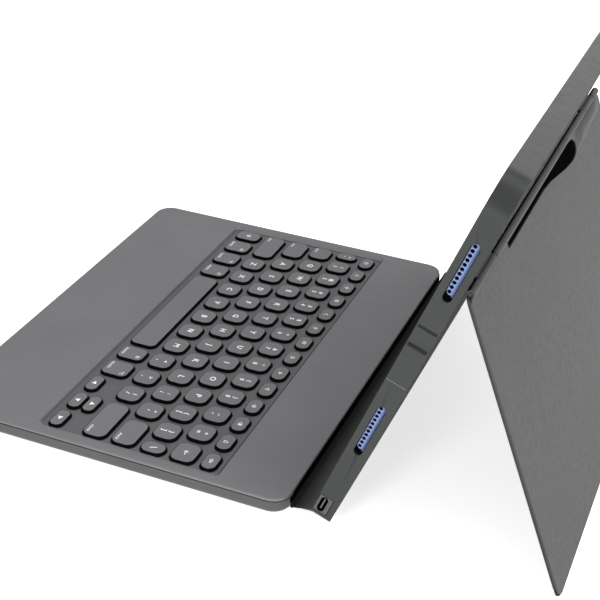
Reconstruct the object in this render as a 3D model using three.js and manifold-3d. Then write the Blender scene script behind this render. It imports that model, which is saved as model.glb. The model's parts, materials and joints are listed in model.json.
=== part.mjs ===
// Tablet keyboard case: a slim wireless keyboard joined by a flexible spine to a
// tablet tray, which a hinged kickstand holds up.
// Millimetres, +X to the typist's right, +Y away from the typist, +Z up.
// The origin is the bottom centre of the open case as it stands on a desk.

import * as THREE from 'three';
import { mergeVertices } from 'three/addons/utils/BufferGeometryUtils.js';
import Module from 'manifold-3d';

const wasm = await Module();
wasm.setup();

// ---------------------------------------------------------------- driving dimensions

// Keyboard half
const KEYBOARD_WIDTH = 252;
const KEYBOARD_DEPTH = 193.4;
const KEYBOARD_CORNER = 9.8;
const FOOT_HEIGHT = 0.6;
const TUB_BOTTOM = 0.65;
const TUB_FLOOR = 2;
const TUB_RIM = 7.3;
const TUB_WALL = 1.6;
const DECK_BOTTOM = 7.6;
const DECK_TOP = 9;
const WELL_FRONT = 56.5;
const WELL_BACK = 156.3;
const WELL_FLOOR_TOP = 7.35;
const WELL_FLOOR_BOTTOM = 6.6;
const WELL_RAMP = 4.6;
const WELL_SIDE = 3.6;

// Keys
const KEY_PITCH = 17.2;
const KEY_WIDTH = 13.4;
const KEY_DEPTH = 12.8;
const KEY_LEFT = 10.3;
const KEY_RIGHT = 243.3;
const KEY_GAP = KEY_PITCH - KEY_WIDTH;
const KEY_CORNER = 4.3;
const KEY_TOP = 9;
const KEY_FLANGE_BOTTOM = 5.5;
const KEY_FLANGE_TOP = 6;
const KEY_FLANGE_REACH = 0.8;
const HALF_KEY_FLANGE_REACH = 0.45;
const KEY_CLEARANCE = 0.35;
const HALF_KEY_CLEARANCE = 0.3;
const ROW_PITCH = 16.04;
const FIRST_LETTER_ROW = 86.3;
const SPACE_ROW = 68.6;
const SPACE_ROW_DEPTH = 15.2;
const SPACE_ROW_CORNER = 3.6;
const FUNCTION_ROW = 148.5;
const FUNCTION_DEPTH = 7.9;
const FUNCTION_WIDTH = 12.9;
const FUNCTION_PITCH = 16.93;
const FUNCTION_CORNER = 3.75;
const HALF_KEY_DEPTH = 7.1;
const WEB_WIDTH = 3.2;

// Spine between the keyboard and the tray
const SPINE_WIDTH = 247;
const SPINE_THICKNESS = 1;
const SPINE_BEAD = 0.8;
const SPINE_FRONT_Y = KEYBOARD_DEPTH + 2.2;
const SPINE_FRONT_Z = 6.4;

// Tablet tray, in its own upright frame: rear face at y = 0, bottom edge at z = 0
const TRAY_WIDTH = 252;
const TRAY_HEIGHT = 194.6;
const TRAY_THICKNESS = 10.4;
const TRAY_CORNER = 16;
const TRAY_BOTTOM_CORNER = 2.7;
const TRAY_LEAN = 20.6;
const TRAY_BOTTOM_Y = 215.2;
const TRAY_BOTTOM_Z = 4.8;
const TRAY_WALL = 1.9;
const TRAY_LIP = 0.9;
const TRAY_LIP_THICKNESS = 0.8;
const TRAY_SHELF = 2.9;
const TRAY_BASE = 13.8;
const BACK_PANEL = 1.2;
const TRAY_REAR_RIM = 1.1;
const LINER_BACK = 2.9;
const LINER_FRONT = 3.4;
const LAYER_GAP = 0.3;

// The spine meets the tray just inside its front bottom edge
const SPINE_REAR_DEPTH = TRAY_THICKNESS - 0.6;
const SPINE_REAR_HEIGHT = -0.3;
const SPINE_RELIEF_DEPTH = 1.75;
const SPINE_RELIEF_HEIGHT = 4.4;

// Openings in the tray's short sides
const SPEAKER_LENGTH = 30.2;
const SPEAKER_HEIGHT = 4.1;
const SPEAKER_DEPTH_CENTRE = 5.1;
const SPEAKER_CENTRES = [59.2, 151];
const SPEAKER_HOLES = 11;
const SPEAKER_HOLE_RADIUS = 0.85;
const SPEAKER_HOLE_PITCH = 2.48;
const CABLE_DIP_CENTRE = 114.5;
const CABLE_DIP_LENGTH = 7;
const CABLE_DIP_SLOPE = 3.6;
const CABLE_DIP_DEPTH = 0.8;
const PORT_CENTRE = 8.5;
const PORT_DEPTH_CENTRE = 6.9;
const PORT_BLOCK_CENTRE = 6.5;
const PORT_BLOCK_LENGTH = 9.8;
const PORT_BLOCK_HEIGHT = 6.6;
const PORT_BLOCK_DEPTH = 6.6;
const PORT_LENGTH = 8.9;
const PORT_HEIGHT = 3.2;
const BUTTON_LENGTH = 12;
const BUTTON_HEIGHT = 3.6;
const VOLUME_CENTRES = [-86, -70];
const POWER_CENTRE = 172.6;
const POWER_LENGTH = 9.5;

// Kickstand, hinged behind the tray
const HINGE_HEIGHT = 143.6;
const HINGE_OFFSET = 2.2;
const KICK_WIDTH = 252;
const KICK_ANGLE = 21.9;
const KICK_CORE_INNER = -1.8;
const KICK_CORE_OUTER = -0.45;
const KICK_SKIN_INNER = -0.3;
const KICK_SKIN_OUTER = 0.45;
const KICK_ROD = 1.1;
const KICK_WRAP_INNER = 1.3;
const KICK_WRAP_OUTER = 1.9;
const KNUCKLE_CENTRE = 100;
const KNUCKLE_WIDTH = 23;
const KNUCKLE_RADIUS = 1.8;
const PIN_RADIUS = 0.6;
const PIN_BORE = 0.8;
const PIN_LENGTH = 41;
const FOOT_STRIP = 4.5;
const SKIN_FOOT_SETBACK = 0.7;

// Smoothness of round stretches
const CASE_CORNER_STEPS = 6;
const KEY_CORNER_STEPS = 2;

const degrees = THREE.MathUtils.degToRad;
const lean = degrees(TRAY_LEAN);
const kickAngle = degrees(KICK_ANGLE);

// ---------------------------------------------------------------- materials

function material(color, roughness, metalness = 0) {
  return new THREE.MeshStandardMaterial({ color, roughness, metalness });
}

const deckGrey = () => material(0x727376, 0.62);
const sideGrey = () => material(0x565a56, 0.6);
const trayGrey = () => material(0x4c504d, 0.5);
const skinGrey = () => material(0x6b6b6d, 0.7);
const keyGrey = () => material(0x6f7073, 0.6);
const blackPlastic = () => material(0x141416, 0.55);
const blackRubber = () => material(0x1c1c1d, 0.85);
const softFabric = () => material(0x2c2d2f, 0.9);
const paleBlueMetal = () => material(0xa9b8dc, 0.35, 0.7);
const steel = () => material(0xa6a8ab, 0.35, 0.9);
const boardGreen = () => material(0x1f4a34, 0.6);
const foilSilver = () => material(0x9fa2a6, 0.45, 0.5);

// ---------------------------------------------------------------- geometry helpers

// Outline of a rectangle with round corners, anticlockwise.
// Radii run front left, front right, back right, back left.
function roundedOutline(left, right, front, back, radii, steps = CASE_CORNER_STEPS) {
  const corner = Array.isArray(radii) ? radii : [radii, radii, radii, radii];
  const centres = [
    [left + corner[0], front + corner[0]],
    [right - corner[1], front + corner[1]],
    [right - corner[2], back - corner[2]],
    [left + corner[3], back - corner[3]],
  ];
  const points = [];
  centres.forEach(([x, y], index) => {
    const start = Math.PI * (1 + index / 2);
    for (let step = 0; step <= steps; step += 1) {
      const angle = start + (Math.PI / 2) * (step / steps);
      points.push(new THREE.Vector2(x + corner[index] * Math.cos(angle), y + corner[index] * Math.sin(angle)));
    }
  });
  return points;
}

function centredOutline(width, depth, radius, steps = CASE_CORNER_STEPS) {
  return roundedOutline(-width / 2, width / 2, -depth / 2, depth / 2, radius, steps);
}

// Closed solid through rings of equal point count, each an outline at a height.
function stack(rings) {
  const count = rings[0].outline.length;
  const positions = [];
  rings.forEach(({ outline, z }) => outline.forEach((point) => positions.push(point.x, point.y, z)));
  const index = [];
  for (let ring = 0; ring < rings.length - 1; ring += 1) {
    for (let step = 0; step < count; step += 1) {
      const a = ring * count + step;
      const b = ring * count + ((step + 1) % count);
      index.push(a, b, b + count, a, b + count, a + count);
    }
  }
  const last = (rings.length - 1) * count;
  THREE.ShapeUtils.triangulateShape(rings[0].outline, []).forEach(([a, b, c]) => index.push(c, b, a));
  THREE.ShapeUtils.triangulateShape(rings[rings.length - 1].outline, []).forEach(([a, b, c]) => {
    index.push(last + a, last + b, last + c);
  });
  const geometry = new THREE.BufferGeometry();
  geometry.setAttribute('position', new THREE.Float32BufferAttribute(positions, 3));
  geometry.setIndex(index);
  return geometry;
}

function slab(outline, bottom, top, holes = []) {
  const shape = new THREE.Shape(outline);
  holes.forEach((hole) => shape.holes.push(new THREE.Path(hole)));
  const geometry = new THREE.ExtrudeGeometry(shape, { depth: top - bottom, bevelEnabled: false });
  return geometry.translate(0, 0, bottom);
}

// Slab drawn in x and z, reaching from y = near to y = far.
function uprightSlab(outline, near, far) {
  return slab(outline, -far, -near).rotateX(Math.PI / 2);
}

// Bar whose section is drawn in y and z, running along x.
function bar(section, left, right) {
  const geometry = slab(section, left, right);
  const turn = new THREE.Matrix4().set(0, 0, 1, 0, 1, 0, 0, 0, 0, 1, 0, 0, 0, 0, 0, 1);
  return geometry.applyMatrix4(turn);
}

function box(left, right, front, back, bottom, top) {
  const geometry = new THREE.BoxGeometry(right - left, back - front, top - bottom);
  return geometry.translate((left + right) / 2, (front + back) / 2, (bottom + top) / 2);
}

function circle(radius, sides, y = 0, z = 0, start = 0) {
  const points = [];
  for (let side = 0; side < sides; side += 1) {
    const angle = start + (2 * Math.PI * side) / sides;
    points.push(new THREE.Vector2(y + radius * Math.cos(angle), z + radius * Math.sin(angle)));
  }
  return points;
}

function arc(radius, from, to, steps, y = 0, z = 0) {
  const points = [];
  for (let step = 0; step <= steps; step += 1) {
    const angle = from + (to - from) * (step / steps);
    points.push(new THREE.Vector2(y + radius * Math.cos(angle), z + radius * Math.sin(angle)));
  }
  return points;
}

// ---------------------------------------------------------------- joining and cutting

function solid(geometry) {
  const bare = geometry.clone();
  bare.deleteAttribute('normal');
  bare.deleteAttribute('uv');
  const merged = mergeVertices(bare, 1e-4);
  return new wasm.Manifold(new wasm.Mesh({
    numProp: 3,
    vertProperties: new Float32Array(merged.attributes.position.array),
    triVerts: new Uint32Array(merged.index.array),
  }));
}

function geometryOf(manifold) {
  const mesh = manifold.getMesh();
  const geometry = new THREE.BufferGeometry();
  geometry.setAttribute('position', new THREE.BufferAttribute(new Float32Array(mesh.vertProperties), 3));
  geometry.setIndex(new THREE.BufferAttribute(new Uint32Array(mesh.triVerts), 1));
  return geometry;
}

function join(...geometries) {
  return geometryOf(geometries.map(solid).reduce((whole, piece) => whole.add(piece)));
}

function cut(geometry, ...tools) {
  return geometryOf(tools.map(solid).reduce((whole, tool) => whole.subtract(tool), solid(geometry)));
}

// ---------------------------------------------------------------- scene graph

const object = new THREE.Group();
const keyboard = new THREE.Group();
const tray = new THREE.Group();
const kickstand = new THREE.Group();

function piece(group, name, geometry, finish) {
  const flat = geometry.index ? geometry.toNonIndexed() : geometry;
  flat.computeVertexNormals();
  const mesh = new THREE.Mesh(flat, finish);
  mesh.name = name;
  group.add(mesh);
  return mesh;
}

// ---------------------------------------------------------------- keyboard casing
// The keyboard group is centred across its width, with its front edge at y = 0.

const HALF_KEYBOARD = KEYBOARD_WIDTH / 2;

function keyboardOutline(inset) {
  return roundedOutline(
    -HALF_KEYBOARD + inset,
    HALF_KEYBOARD - inset,
    inset,
    KEYBOARD_DEPTH - inset,
    KEYBOARD_CORNER - inset,
  );
}

function wellOutline(sideInset, endInset, corner) {
  return roundedOutline(
    -HALF_KEYBOARD + sideInset,
    HALF_KEYBOARD - sideInset,
    WELL_FRONT + endInset,
    WELL_BACK - endInset,
    corner,
  );
}

function addKeyboardTub() {
  const bevel = 1.4;
  const shell = stack([
    { outline: keyboardOutline(bevel), z: TUB_BOTTOM },
    { outline: keyboardOutline(0.3), z: TUB_BOTTOM + bevel },
    { outline: keyboardOutline(0), z: TUB_BOTTOM + bevel * 2 },
    { outline: keyboardOutline(0), z: TUB_RIM },
  ]);
  const hollow = slab(keyboardOutline(TUB_WALL), TUB_FLOOR, TUB_RIM + 1);
  const slotHalf = SPINE_WIDTH / 2 - KEYBOARD_CORNER;
  const spineSlot = box(
    -slotHalf,
    slotHalf,
    KEYBOARD_DEPTH - TUB_WALL - 1,
    KEYBOARD_DEPTH + 1,
    SPINE_FRONT_Z - SPINE_THICKNESS,
    TUB_RIM + 1,
  );
  piece(keyboard, 'keyboard_base_tub', cut(shell, hollow, spineSlot), sideGrey());
}

function addKeyboardDeck() {
  const softEdge = 0.5;
  const plate = stack([
    { outline: keyboardOutline(0.3), z: DECK_BOTTOM },
    { outline: keyboardOutline(0.3), z: DECK_TOP - softEdge },
    { outline: keyboardOutline(0.3 + softEdge), z: DECK_TOP },
  ]);
  const overshoot = 0.2;
  const rampRise = DECK_TOP - DECK_BOTTOM;
  const rampOver = (WELL_RAMP * overshoot) / rampRise;
  const well = stack([
    { outline: wellOutline(WELL_SIDE + WELL_RAMP + rampOver, 0.4, 2.5), z: DECK_BOTTOM - overshoot },
    { outline: wellOutline(WELL_SIDE - rampOver, 0, 4.5), z: DECK_TOP + overshoot },
  ]);
  piece(keyboard, 'keyboard_deck', cut(plate, well), deckGrey());
}

function addKeyboardInsides() {
  const zoneHalf = KEYBOARD_WIDTH / 2 - 9;
  const keyZone = roundedOutline(-zoneHalf, zoneHalf, WELL_FRONT + 1, WELL_BACK - 1, 2, 1);
  piece(keyboard, 'key_backing_plate', slab(keyZone, 2.3, 2.9), steel());
  piece(keyboard, 'key_dome_membrane', slab(keyZone, 3.2, 3.7), blackRubber());
  const boardOutline = roundedOutline(-54, 54, 160, 179, 1.5, 1);
  piece(keyboard, 'main_circuit_board', slab(boardOutline, 3, 4), boardGreen());
  const batteryWidth = 78;
  const batteryOutline = (left) => roundedOutline(left, left + batteryWidth, 14, 50, 2, 1);
  piece(keyboard, 'battery_cell_left', slab(batteryOutline(-84), 2.4, 6), foilSilver());
  piece(keyboard, 'battery_cell_right', slab(batteryOutline(6), 2.4, 6), foilSilver());
  const magnetWidth = 20;
  const magnetEdge = 117;
  const magnet = (left) => box(left, left + magnetWidth, 6.5, 12, 3, 5.8);
  piece(keyboard, 'closing_magnet_left', magnet(-magnetEdge), steel());
  piece(keyboard, 'closing_magnet_right', magnet(magnetEdge - magnetWidth), steel());
  const railHalf = SPINE_WIDTH / 2 - KEYBOARD_CORNER - 0.5;
  const tongueEnd = SPINE_FRONT_Y - SPINE_BEAD - LAYER_GAP;
  const rail = join(
    box(-railHalf, railHalf, 182.5, 190.5, 3, SPINE_FRONT_Z + 0.5),
    box(-railHalf, railHalf, 190, tongueEnd, SPINE_FRONT_Z - 0.5, SPINE_FRONT_Z + 0.5),
  );
  piece(keyboard, 'spine_anchor_rail', rail, softFabric());
}

function addFeet() {
  const footLength = 30;
  const footDepth = 6.4;
  const inset = 12.5;
  [['left', -1], ['right', 1]].forEach(([side, sign]) => {
    [['front', inset], ['rear', KEYBOARD_DEPTH - inset]].forEach(([end, y]) => {
      const x = sign * (HALF_KEYBOARD - inset - footLength / 2);
      const outline = centredOutline(footLength, footDepth, footDepth / 2, 3);
      const foot = slab(outline, 0, FOOT_HEIGHT).translate(x, y, 0);
      piece(keyboard, `${end}_foot_${side}`, foot, blackRubber());
    });
  });
}

// ---------------------------------------------------------------- keys
// Each key is [left edge, width] measured from the keyboard's left edge.

function run(firstLeft, count, pitch = KEY_PITCH, width = KEY_WIDTH) {
  return Array.from({ length: count }, (_, index) => [firstLeft + index * pitch, width]);
}

function span(left, right) {
  return [[left, right - left]];
}

function rowStart(widthOfFirst) {
  return KEY_LEFT + widthOfFirst + KEY_GAP;
}

// Joined name, centre line, depth and corner of a line of keys.
function keyLine(name, y, depth, corner, keys) {
  return { name, y, depth, corner, keys };
}

function letterLines() {
  const rows = [
    { y: FIRST_LETTER_ROW, first: 27.3, count: 10, names: ['left_shift_key', 'lower_letter_keys', 'right_shift_key'] },
    { y: FIRST_LETTER_ROW + ROW_PITCH, first: 19.25, count: 11, names: ['caps_lock_key', 'middle_letter_keys', 'return_key'] },
    { y: FIRST_LETTER_ROW + 2 * ROW_PITCH, first: 14, count: 12, names: ['tab_key', 'upper_letter_keys', 'backslash_key'] },
  ];
  const lines = [];
  rows.forEach(({ y, first, count, names }) => {
    const lettersLeft = rowStart(first);
    const lastLeft = lettersLeft + count * KEY_PITCH;
    lines.push(keyLine(names[0], y, KEY_DEPTH, KEY_CORNER, span(KEY_LEFT, KEY_LEFT + first)));
    lines.push(keyLine(names[1], y, KEY_DEPTH, KEY_CORNER, run(lettersLeft, count)));
    lines.push(keyLine(names[2], y, KEY_DEPTH, KEY_CORNER, span(lastLeft, KEY_RIGHT)));
  });
  return lines;
}

function numberAndFunctionLines() {
  const accentWidth = 7.9;
  const numberRow = FIRST_LETTER_ROW + 3 * ROW_PITCH;
  const digitsLeft = rowStart(accentWidth);
  const numberKeys = [...span(KEY_LEFT, KEY_LEFT + accentWidth), ...run(digitsLeft, 12)];
  const functionKeys = run(KEY_LEFT, 14, FUNCTION_PITCH, FUNCTION_WIDTH);
  return [
    keyLine('number_row_keys', numberRow, KEY_DEPTH, 3.9, numberKeys),
    keyLine('backspace_key', numberRow, KEY_DEPTH, KEY_CORNER, span(digitsLeft + 12 * KEY_PITCH, KEY_RIGHT)),
    keyLine('function_row_keys', FUNCTION_ROW, FUNCTION_DEPTH, FUNCTION_CORNER, functionKeys),
  ];
}

function bottomLines() {
  const arrowsLeft = KEY_RIGHT - 2 * KEY_PITCH - KEY_WIDTH;
  const optionLeft = arrowsLeft - KEY_PITCH;
  const commandWidth = 11.9;
  const commandLeft = optionLeft - KEY_GAP - commandWidth;
  const modifierWidth = 13.1;
  const modifierPitch = 16.93;
  const firstModifier = 24.8;
  const spaceLeft = firstModifier + 3 * modifierPitch;
  const full = (name, left, right) => (
    keyLine(name, SPACE_ROW, SPACE_ROW_DEPTH, SPACE_ROW_CORNER, span(left, right))
  );
  const modifier = (name, place) => {
    const left = firstModifier + place * modifierPitch;
    return full(name, left, left + modifierWidth);
  };
  const lowHalf = SPACE_ROW - SPACE_ROW_DEPTH / 2 + HALF_KEY_DEPTH / 2;
  const highDepth = 6.7;
  const highHalf = SPACE_ROW + SPACE_ROW_DEPTH / 2 - highDepth / 2;
  const arrow = (name, place, y, depth) => (
    keyLine(name, y, depth, depth / 2 - 0.2, run(arrowsLeft + place * KEY_PITCH, 1))
  );
  return [
    full('language_key', KEY_LEFT, KEY_LEFT + 10.7),
    modifier('control_key', 0),
    modifier('left_option_key', 1),
    modifier('left_command_key', 2),
    full('space_bar', spaceLeft, commandLeft - KEY_GAP),
    full('right_command_key', commandLeft, commandLeft + commandWidth),
    full('right_option_key', optionLeft, optionLeft + KEY_WIDTH),
    arrow('arrow_left_key', 0, lowHalf, HALF_KEY_DEPTH),
    arrow('arrow_up_key', 1, highHalf, highDepth),
    arrow('arrow_down_key', 1, lowHalf, HALF_KEY_DEPTH),
    arrow('arrow_right_key', 2, lowHalf, HALF_KEY_DEPTH),
  ];
}

const keyLines = [...bottomLines(), ...letterLines(), ...numberAndFunctionLines()];

function keyOutline([left, width], line, grow, steps = KEY_CORNER_STEPS, cornerShare = 1) {
  const x = left - HALF_KEYBOARD;
  return roundedOutline(
    x - grow,
    x + width + grow,
    line.y - line.depth / 2 - grow,
    line.y + line.depth / 2 + grow,
    cornerShare * (Math.min(line.corner, width / 2 - 0.2) + grow),
    steps,
  );
}

// The two arrow halves stand close together, so their flanges reach less.
function flangeReach(line) {
  return line.depth <= HALF_KEY_DEPTH ? HALF_KEY_FLANGE_REACH : KEY_FLANGE_REACH;
}

function keyCap(key, line) {
  return stack([
    { outline: keyOutline(key, line, flangeReach(line)), z: KEY_FLANGE_BOTTOM },
    { outline: keyOutline(key, line, 0), z: KEY_FLANGE_TOP },
    { outline: keyOutline(key, line, 0), z: KEY_TOP },
  ]);
}

function keyWeb(line) {
  const [firstLeft, firstWidth] = line.keys[0];
  const [lastLeft] = line.keys[line.keys.length - 1];
  return box(
    firstLeft + firstWidth - HALF_KEYBOARD - 1,
    lastLeft - HALF_KEYBOARD + 1,
    line.y - WEB_WIDTH / 2,
    line.y + WEB_WIDTH / 2,
    KEY_FLANGE_BOTTOM,
    KEY_FLANGE_TOP - 0.1,
  );
}

function addKeys() {
  keyLines.forEach((line) => {
    const caps = line.keys.map((key) => keyCap(key, line));
    const shape = caps.length > 1 ? join(...caps, keyWeb(line)) : caps[0];
    piece(keyboard, line.name, shape, keyGrey());
  });
}

// A hole's corners are single chamfers that clear the round corners of its key.
function addKeyWellPlate() {
  const chamferShare = 0.58;
  const plate = wellOutline(WELL_SIDE + WELL_RAMP - 4, -3, 3);
  const holes = keyLines.flatMap((line) => {
    const grow = line.depth <= HALF_KEY_DEPTH ? HALF_KEY_CLEARANCE : KEY_CLEARANCE;
    return line.keys.map((key) => keyOutline(key, line, grow, 1, chamferShare).reverse());
  });
  const geometry = slab(plate, WELL_FLOOR_BOTTOM, WELL_FLOOR_TOP, holes);
  piece(keyboard, 'key_well_plate', geometry, deckGrey());
}

// ---------------------------------------------------------------- tablet tray
// The tray group's frame stands upright; the whole group leans back.
// Its rear face is y = 0 and the tablet side faces -y.

const HALF_TRAY = TRAY_WIDTH / 2;

function trayOutline(inset, extraBottom = 0) {
  const top = Math.max(TRAY_CORNER - inset, 1);
  const bottom = extraBottom > 0 ? top : Math.max(TRAY_BOTTOM_CORNER - inset, 1);
  return roundedOutline(
    -HALF_TRAY + inset,
    HALF_TRAY - inset,
    inset + extraBottom,
    TRAY_HEIGHT - inset,
    [bottom, bottom, top, top],
  );
}

function speakerOutline(length, height, depth, centre) {
  return roundedOutline(
    -depth - height / 2,
    -depth + height / 2,
    centre - length / 2,
    centre + length / 2,
    height / 2 - 0.01,
    3,
  );
}

function cableDip() {
  const half = CABLE_DIP_LENGTH / 2;
  const face = HALF_TRAY;
  const outline = [
    new THREE.Vector2(face + 1, CABLE_DIP_CENTRE - half - CABLE_DIP_SLOPE),
    new THREE.Vector2(face + 1, CABLE_DIP_CENTRE + half + CABLE_DIP_SLOPE),
    new THREE.Vector2(face, CABLE_DIP_CENTRE + half + CABLE_DIP_SLOPE),
    new THREE.Vector2(face - CABLE_DIP_DEPTH, CABLE_DIP_CENTRE + half),
    new THREE.Vector2(face - CABLE_DIP_DEPTH, CABLE_DIP_CENTRE - half),
    new THREE.Vector2(face, CABLE_DIP_CENTRE - half - CABLE_DIP_SLOPE),
  ];
  return uprightSlab(outline, -TRAY_THICKNESS - 1, 1);
}

function sideStadium(length, height, depthCentre, centre, left, right) {
  return bar(speakerOutline(length, height, depthCentre, centre), left, right);
}

function topStadium(centre, bottom, top, play = 0) {
  const half = BUTTON_LENGTH / 2 + play;
  const reach = BUTTON_HEIGHT / 2 + play;
  const depth = -SPEAKER_DEPTH_CENTRE;
  const outline = roundedOutline(centre - half, centre + half, depth - reach, depth + reach, reach - 0.01, 2);
  return slab(outline, bottom, top);
}

// Socket in the lower front corner of the right side, which takes the port block.
function portRecess(play) {
  const halfLength = PORT_BLOCK_LENGTH / 2 + play;
  const halfHeight = PORT_BLOCK_HEIGHT / 2 + play;
  return box(
    HALF_TRAY - PORT_BLOCK_DEPTH - play,
    HALF_TRAY + (play > 0 ? 1 : 0),
    -PORT_BLOCK_CENTRE - halfHeight,
    -PORT_BLOCK_CENTRE + halfHeight,
    PORT_CENTRE - halfLength,
    PORT_CENTRE + halfLength,
  );
}

// The front bottom edge is cut back so that the tray can turn about the spine's rear bead.
function spineRelief() {
  const left = -HALF_TRAY - 1;
  const right = HALF_TRAY + 1;
  const beadRoom = SPINE_BEAD + 0.35;
  const groove = bar(circle(beadRoom, 10, -SPINE_REAR_DEPTH, SPINE_REAR_HEIGHT, Math.PI / 10), left, right);
  const front = -TRAY_THICKNESS;
  const chamfer = bar(
    [
      new THREE.Vector2(front - 1, -1),
      new THREE.Vector2(front + SPINE_RELIEF_DEPTH, -1),
      new THREE.Vector2(front + SPINE_RELIEF_DEPTH, SPINE_REAR_HEIGHT),
      new THREE.Vector2(front, SPINE_RELIEF_HEIGHT),
      new THREE.Vector2(front - 1, SPINE_RELIEF_HEIGHT),
    ],
    left,
    right,
  );
  return [groove, chamfer];
}

function addTrayFrame() {
  const rear = -BACK_PANEL - LAYER_GAP;
  const floor = -LINER_BACK + 0.15;
  const front = -TRAY_THICKNESS;
  const body = uprightSlab(trayOutline(0), front, 0);
  const panelRecess = uprightSlab(trayOutline(TRAY_REAR_RIM), rear, 1);
  const raised = TRAY_BASE - TRAY_WALL;
  const shelfOpening = uprightSlab(trayOutline(TRAY_WALL + TRAY_SHELF, raised), floor - 1, rear + 1);
  const pocket = uprightSlab(trayOutline(TRAY_WALL, raised), front + TRAY_LIP_THICKNESS, floor);
  const lipOpening = uprightSlab(trayOutline(TRAY_WALL + TRAY_LIP, raised), front - 1, front + TRAY_LIP_THICKNESS + 1);
  const slots = SPEAKER_CENTRES.map((centre) => sideStadium(
    SPEAKER_LENGTH,
    SPEAKER_HEIGHT,
    SPEAKER_DEPTH_CENTRE,
    centre,
    -HALF_TRAY - 1,
    HALF_TRAY + 1,
  ));
  const play = 0.3;
  const volumeHoles = VOLUME_CENTRES.map((centre) => (
    topStadium(centre, TRAY_HEIGHT - TRAY_WALL - 2, TRAY_HEIGHT + 1, play)
  ));
  const powerHole = sideStadium(
    POWER_LENGTH + 2 * play,
    BUTTON_HEIGHT + 2 * play,
    SPEAKER_DEPTH_CENTRE,
    POWER_CENTRE,
    -HALF_TRAY - 1,
    -HALF_TRAY + TRAY_WALL + 2,
  );
  const openings = [panelRecess, shelfOpening, pocket, lipOpening, ...slots, ...volumeHoles, powerHole];
  const frame = cut(body, ...openings, cableDip(), portRecess(LAYER_GAP), ...spineRelief());
  piece(tray, 'tray_frame', frame, trayGrey());
}

function addTrayPlates() {
  const knuckleSlots = [-1, 1].map((sign) => {
    const half = KNUCKLE_WIDTH / 2 + 0.4;
    const x = sign * KNUCKLE_CENTRE;
    return box(x - half, x + half, -BACK_PANEL - 1, 1, HINGE_HEIGHT - 2, HINGE_HEIGHT + 2);
  });
  const rearPanel = uprightSlab(trayOutline(TRAY_REAR_RIM + LAYER_GAP), -BACK_PANEL, 0);
  piece(tray, 'tray_back_panel', cut(rearPanel, ...knuckleSlots), trayGrey());
  const liner = trayOutline(TRAY_WALL + 0.3, TRAY_BASE - TRAY_WALL);
  piece(tray, 'tablet_liner_plate', uprightSlab(liner, -LINER_FRONT, -LINER_BACK), softFabric());
}

// Perforated strip that closes a speaker slot, set just inside the outer face.
function addSpeakerGrilles() {
  const thickness = 0.8;
  const setBack = 0.6;
  const play = 0.3;
  SPEAKER_CENTRES.forEach((centre, place) => {
    const strip = (left, right) => {
      const outline = speakerOutline(
        SPEAKER_LENGTH - 2 * play,
        SPEAKER_HEIGHT - 2 * play,
        SPEAKER_DEPTH_CENTRE,
        centre,
      );
      const shape = new THREE.Shape(outline);
      for (let hole = 0; hole < SPEAKER_HOLES; hole += 1) {
        const z = centre + (hole - (SPEAKER_HOLES - 1) / 2) * SPEAKER_HOLE_PITCH;
        const ring = circle(SPEAKER_HOLE_RADIUS, 6, -SPEAKER_DEPTH_CENTRE, z).reverse();
        shape.holes.push(new THREE.Path(ring));
      }
      const turn = new THREE.Matrix4().set(0, 0, 1, 0, 1, 0, 0, 0, 0, 1, 0, 0, 0, 0, 0, 1);
      const geometry = new THREE.ExtrudeGeometry(shape, { depth: right - left, bevelEnabled: false });
      return geometry.translate(0, 0, left).applyMatrix4(turn);
    };
    const height = place === 0 ? 'lower' : 'upper';
    const face = HALF_TRAY - setBack;
    piece(tray, `${height}_speaker_grille_right`, strip(face - thickness, face), paleBlueMetal());
    piece(tray, `${height}_speaker_grille_left`, strip(-face, -face + thickness), paleBlueMetal());
  });
}

function addChargePort() {
  const stadium = (length, height, left, right) => (
    sideStadium(length, height, PORT_DEPTH_CENTRE, PORT_CENTRE, left, right)
  );
  const face = HALF_TRAY;
  const inner = face - PORT_BLOCK_DEPTH;
  const wall = 0.4;
  const backWall = 1;
  const play = 0.15;
  const block = cut(portRecess(0), stadium(PORT_LENGTH + 2 * play, PORT_HEIGHT + 2 * play, inner + backWall, face + 1));
  piece(tray, 'charge_port_block', block, sideGrey());
  const sleeveBack = inner + backWall + play;
  const sleeve = cut(
    stadium(PORT_LENGTH, PORT_HEIGHT, sleeveBack, face - 0.2),
    stadium(PORT_LENGTH - 2 * wall, PORT_HEIGHT - 2 * wall, sleeveBack + wall, face + 1),
  );
  piece(tray, 'charge_port_sleeve', sleeve, steel());
  const halfTongue = 3.2;
  const tongue = box(
    sleeveBack + wall + play,
    face - 0.7,
    -PORT_DEPTH_CENTRE - 0.35,
    -PORT_DEPTH_CENTRE + 0.35,
    PORT_CENTRE - halfTongue,
    PORT_CENTRE + halfTongue,
  );
  piece(tray, 'charge_port_tongue', tongue, blackPlastic());
}

// The volume buttons stand a little proud of the top edge; the power button is flush.
function addTrayButtons() {
  const proud = 0.5;
  const bottom = TRAY_HEIGHT - TRAY_WALL + 0.6;
  ['volume_down_button', 'volume_up_button'].forEach((name, index) => {
    piece(tray, name, topStadium(VOLUME_CENTRES[index], bottom, TRAY_HEIGHT + proud), trayGrey());
  });
  const power = sideStadium(
    POWER_LENGTH,
    BUTTON_HEIGHT,
    SPEAKER_DEPTH_CENTRE,
    POWER_CENTRE,
    -HALF_TRAY,
    -HALF_TRAY + TRAY_WALL - 0.6,
  );
  piece(tray, 'power_button', power, trayGrey());
}

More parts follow.
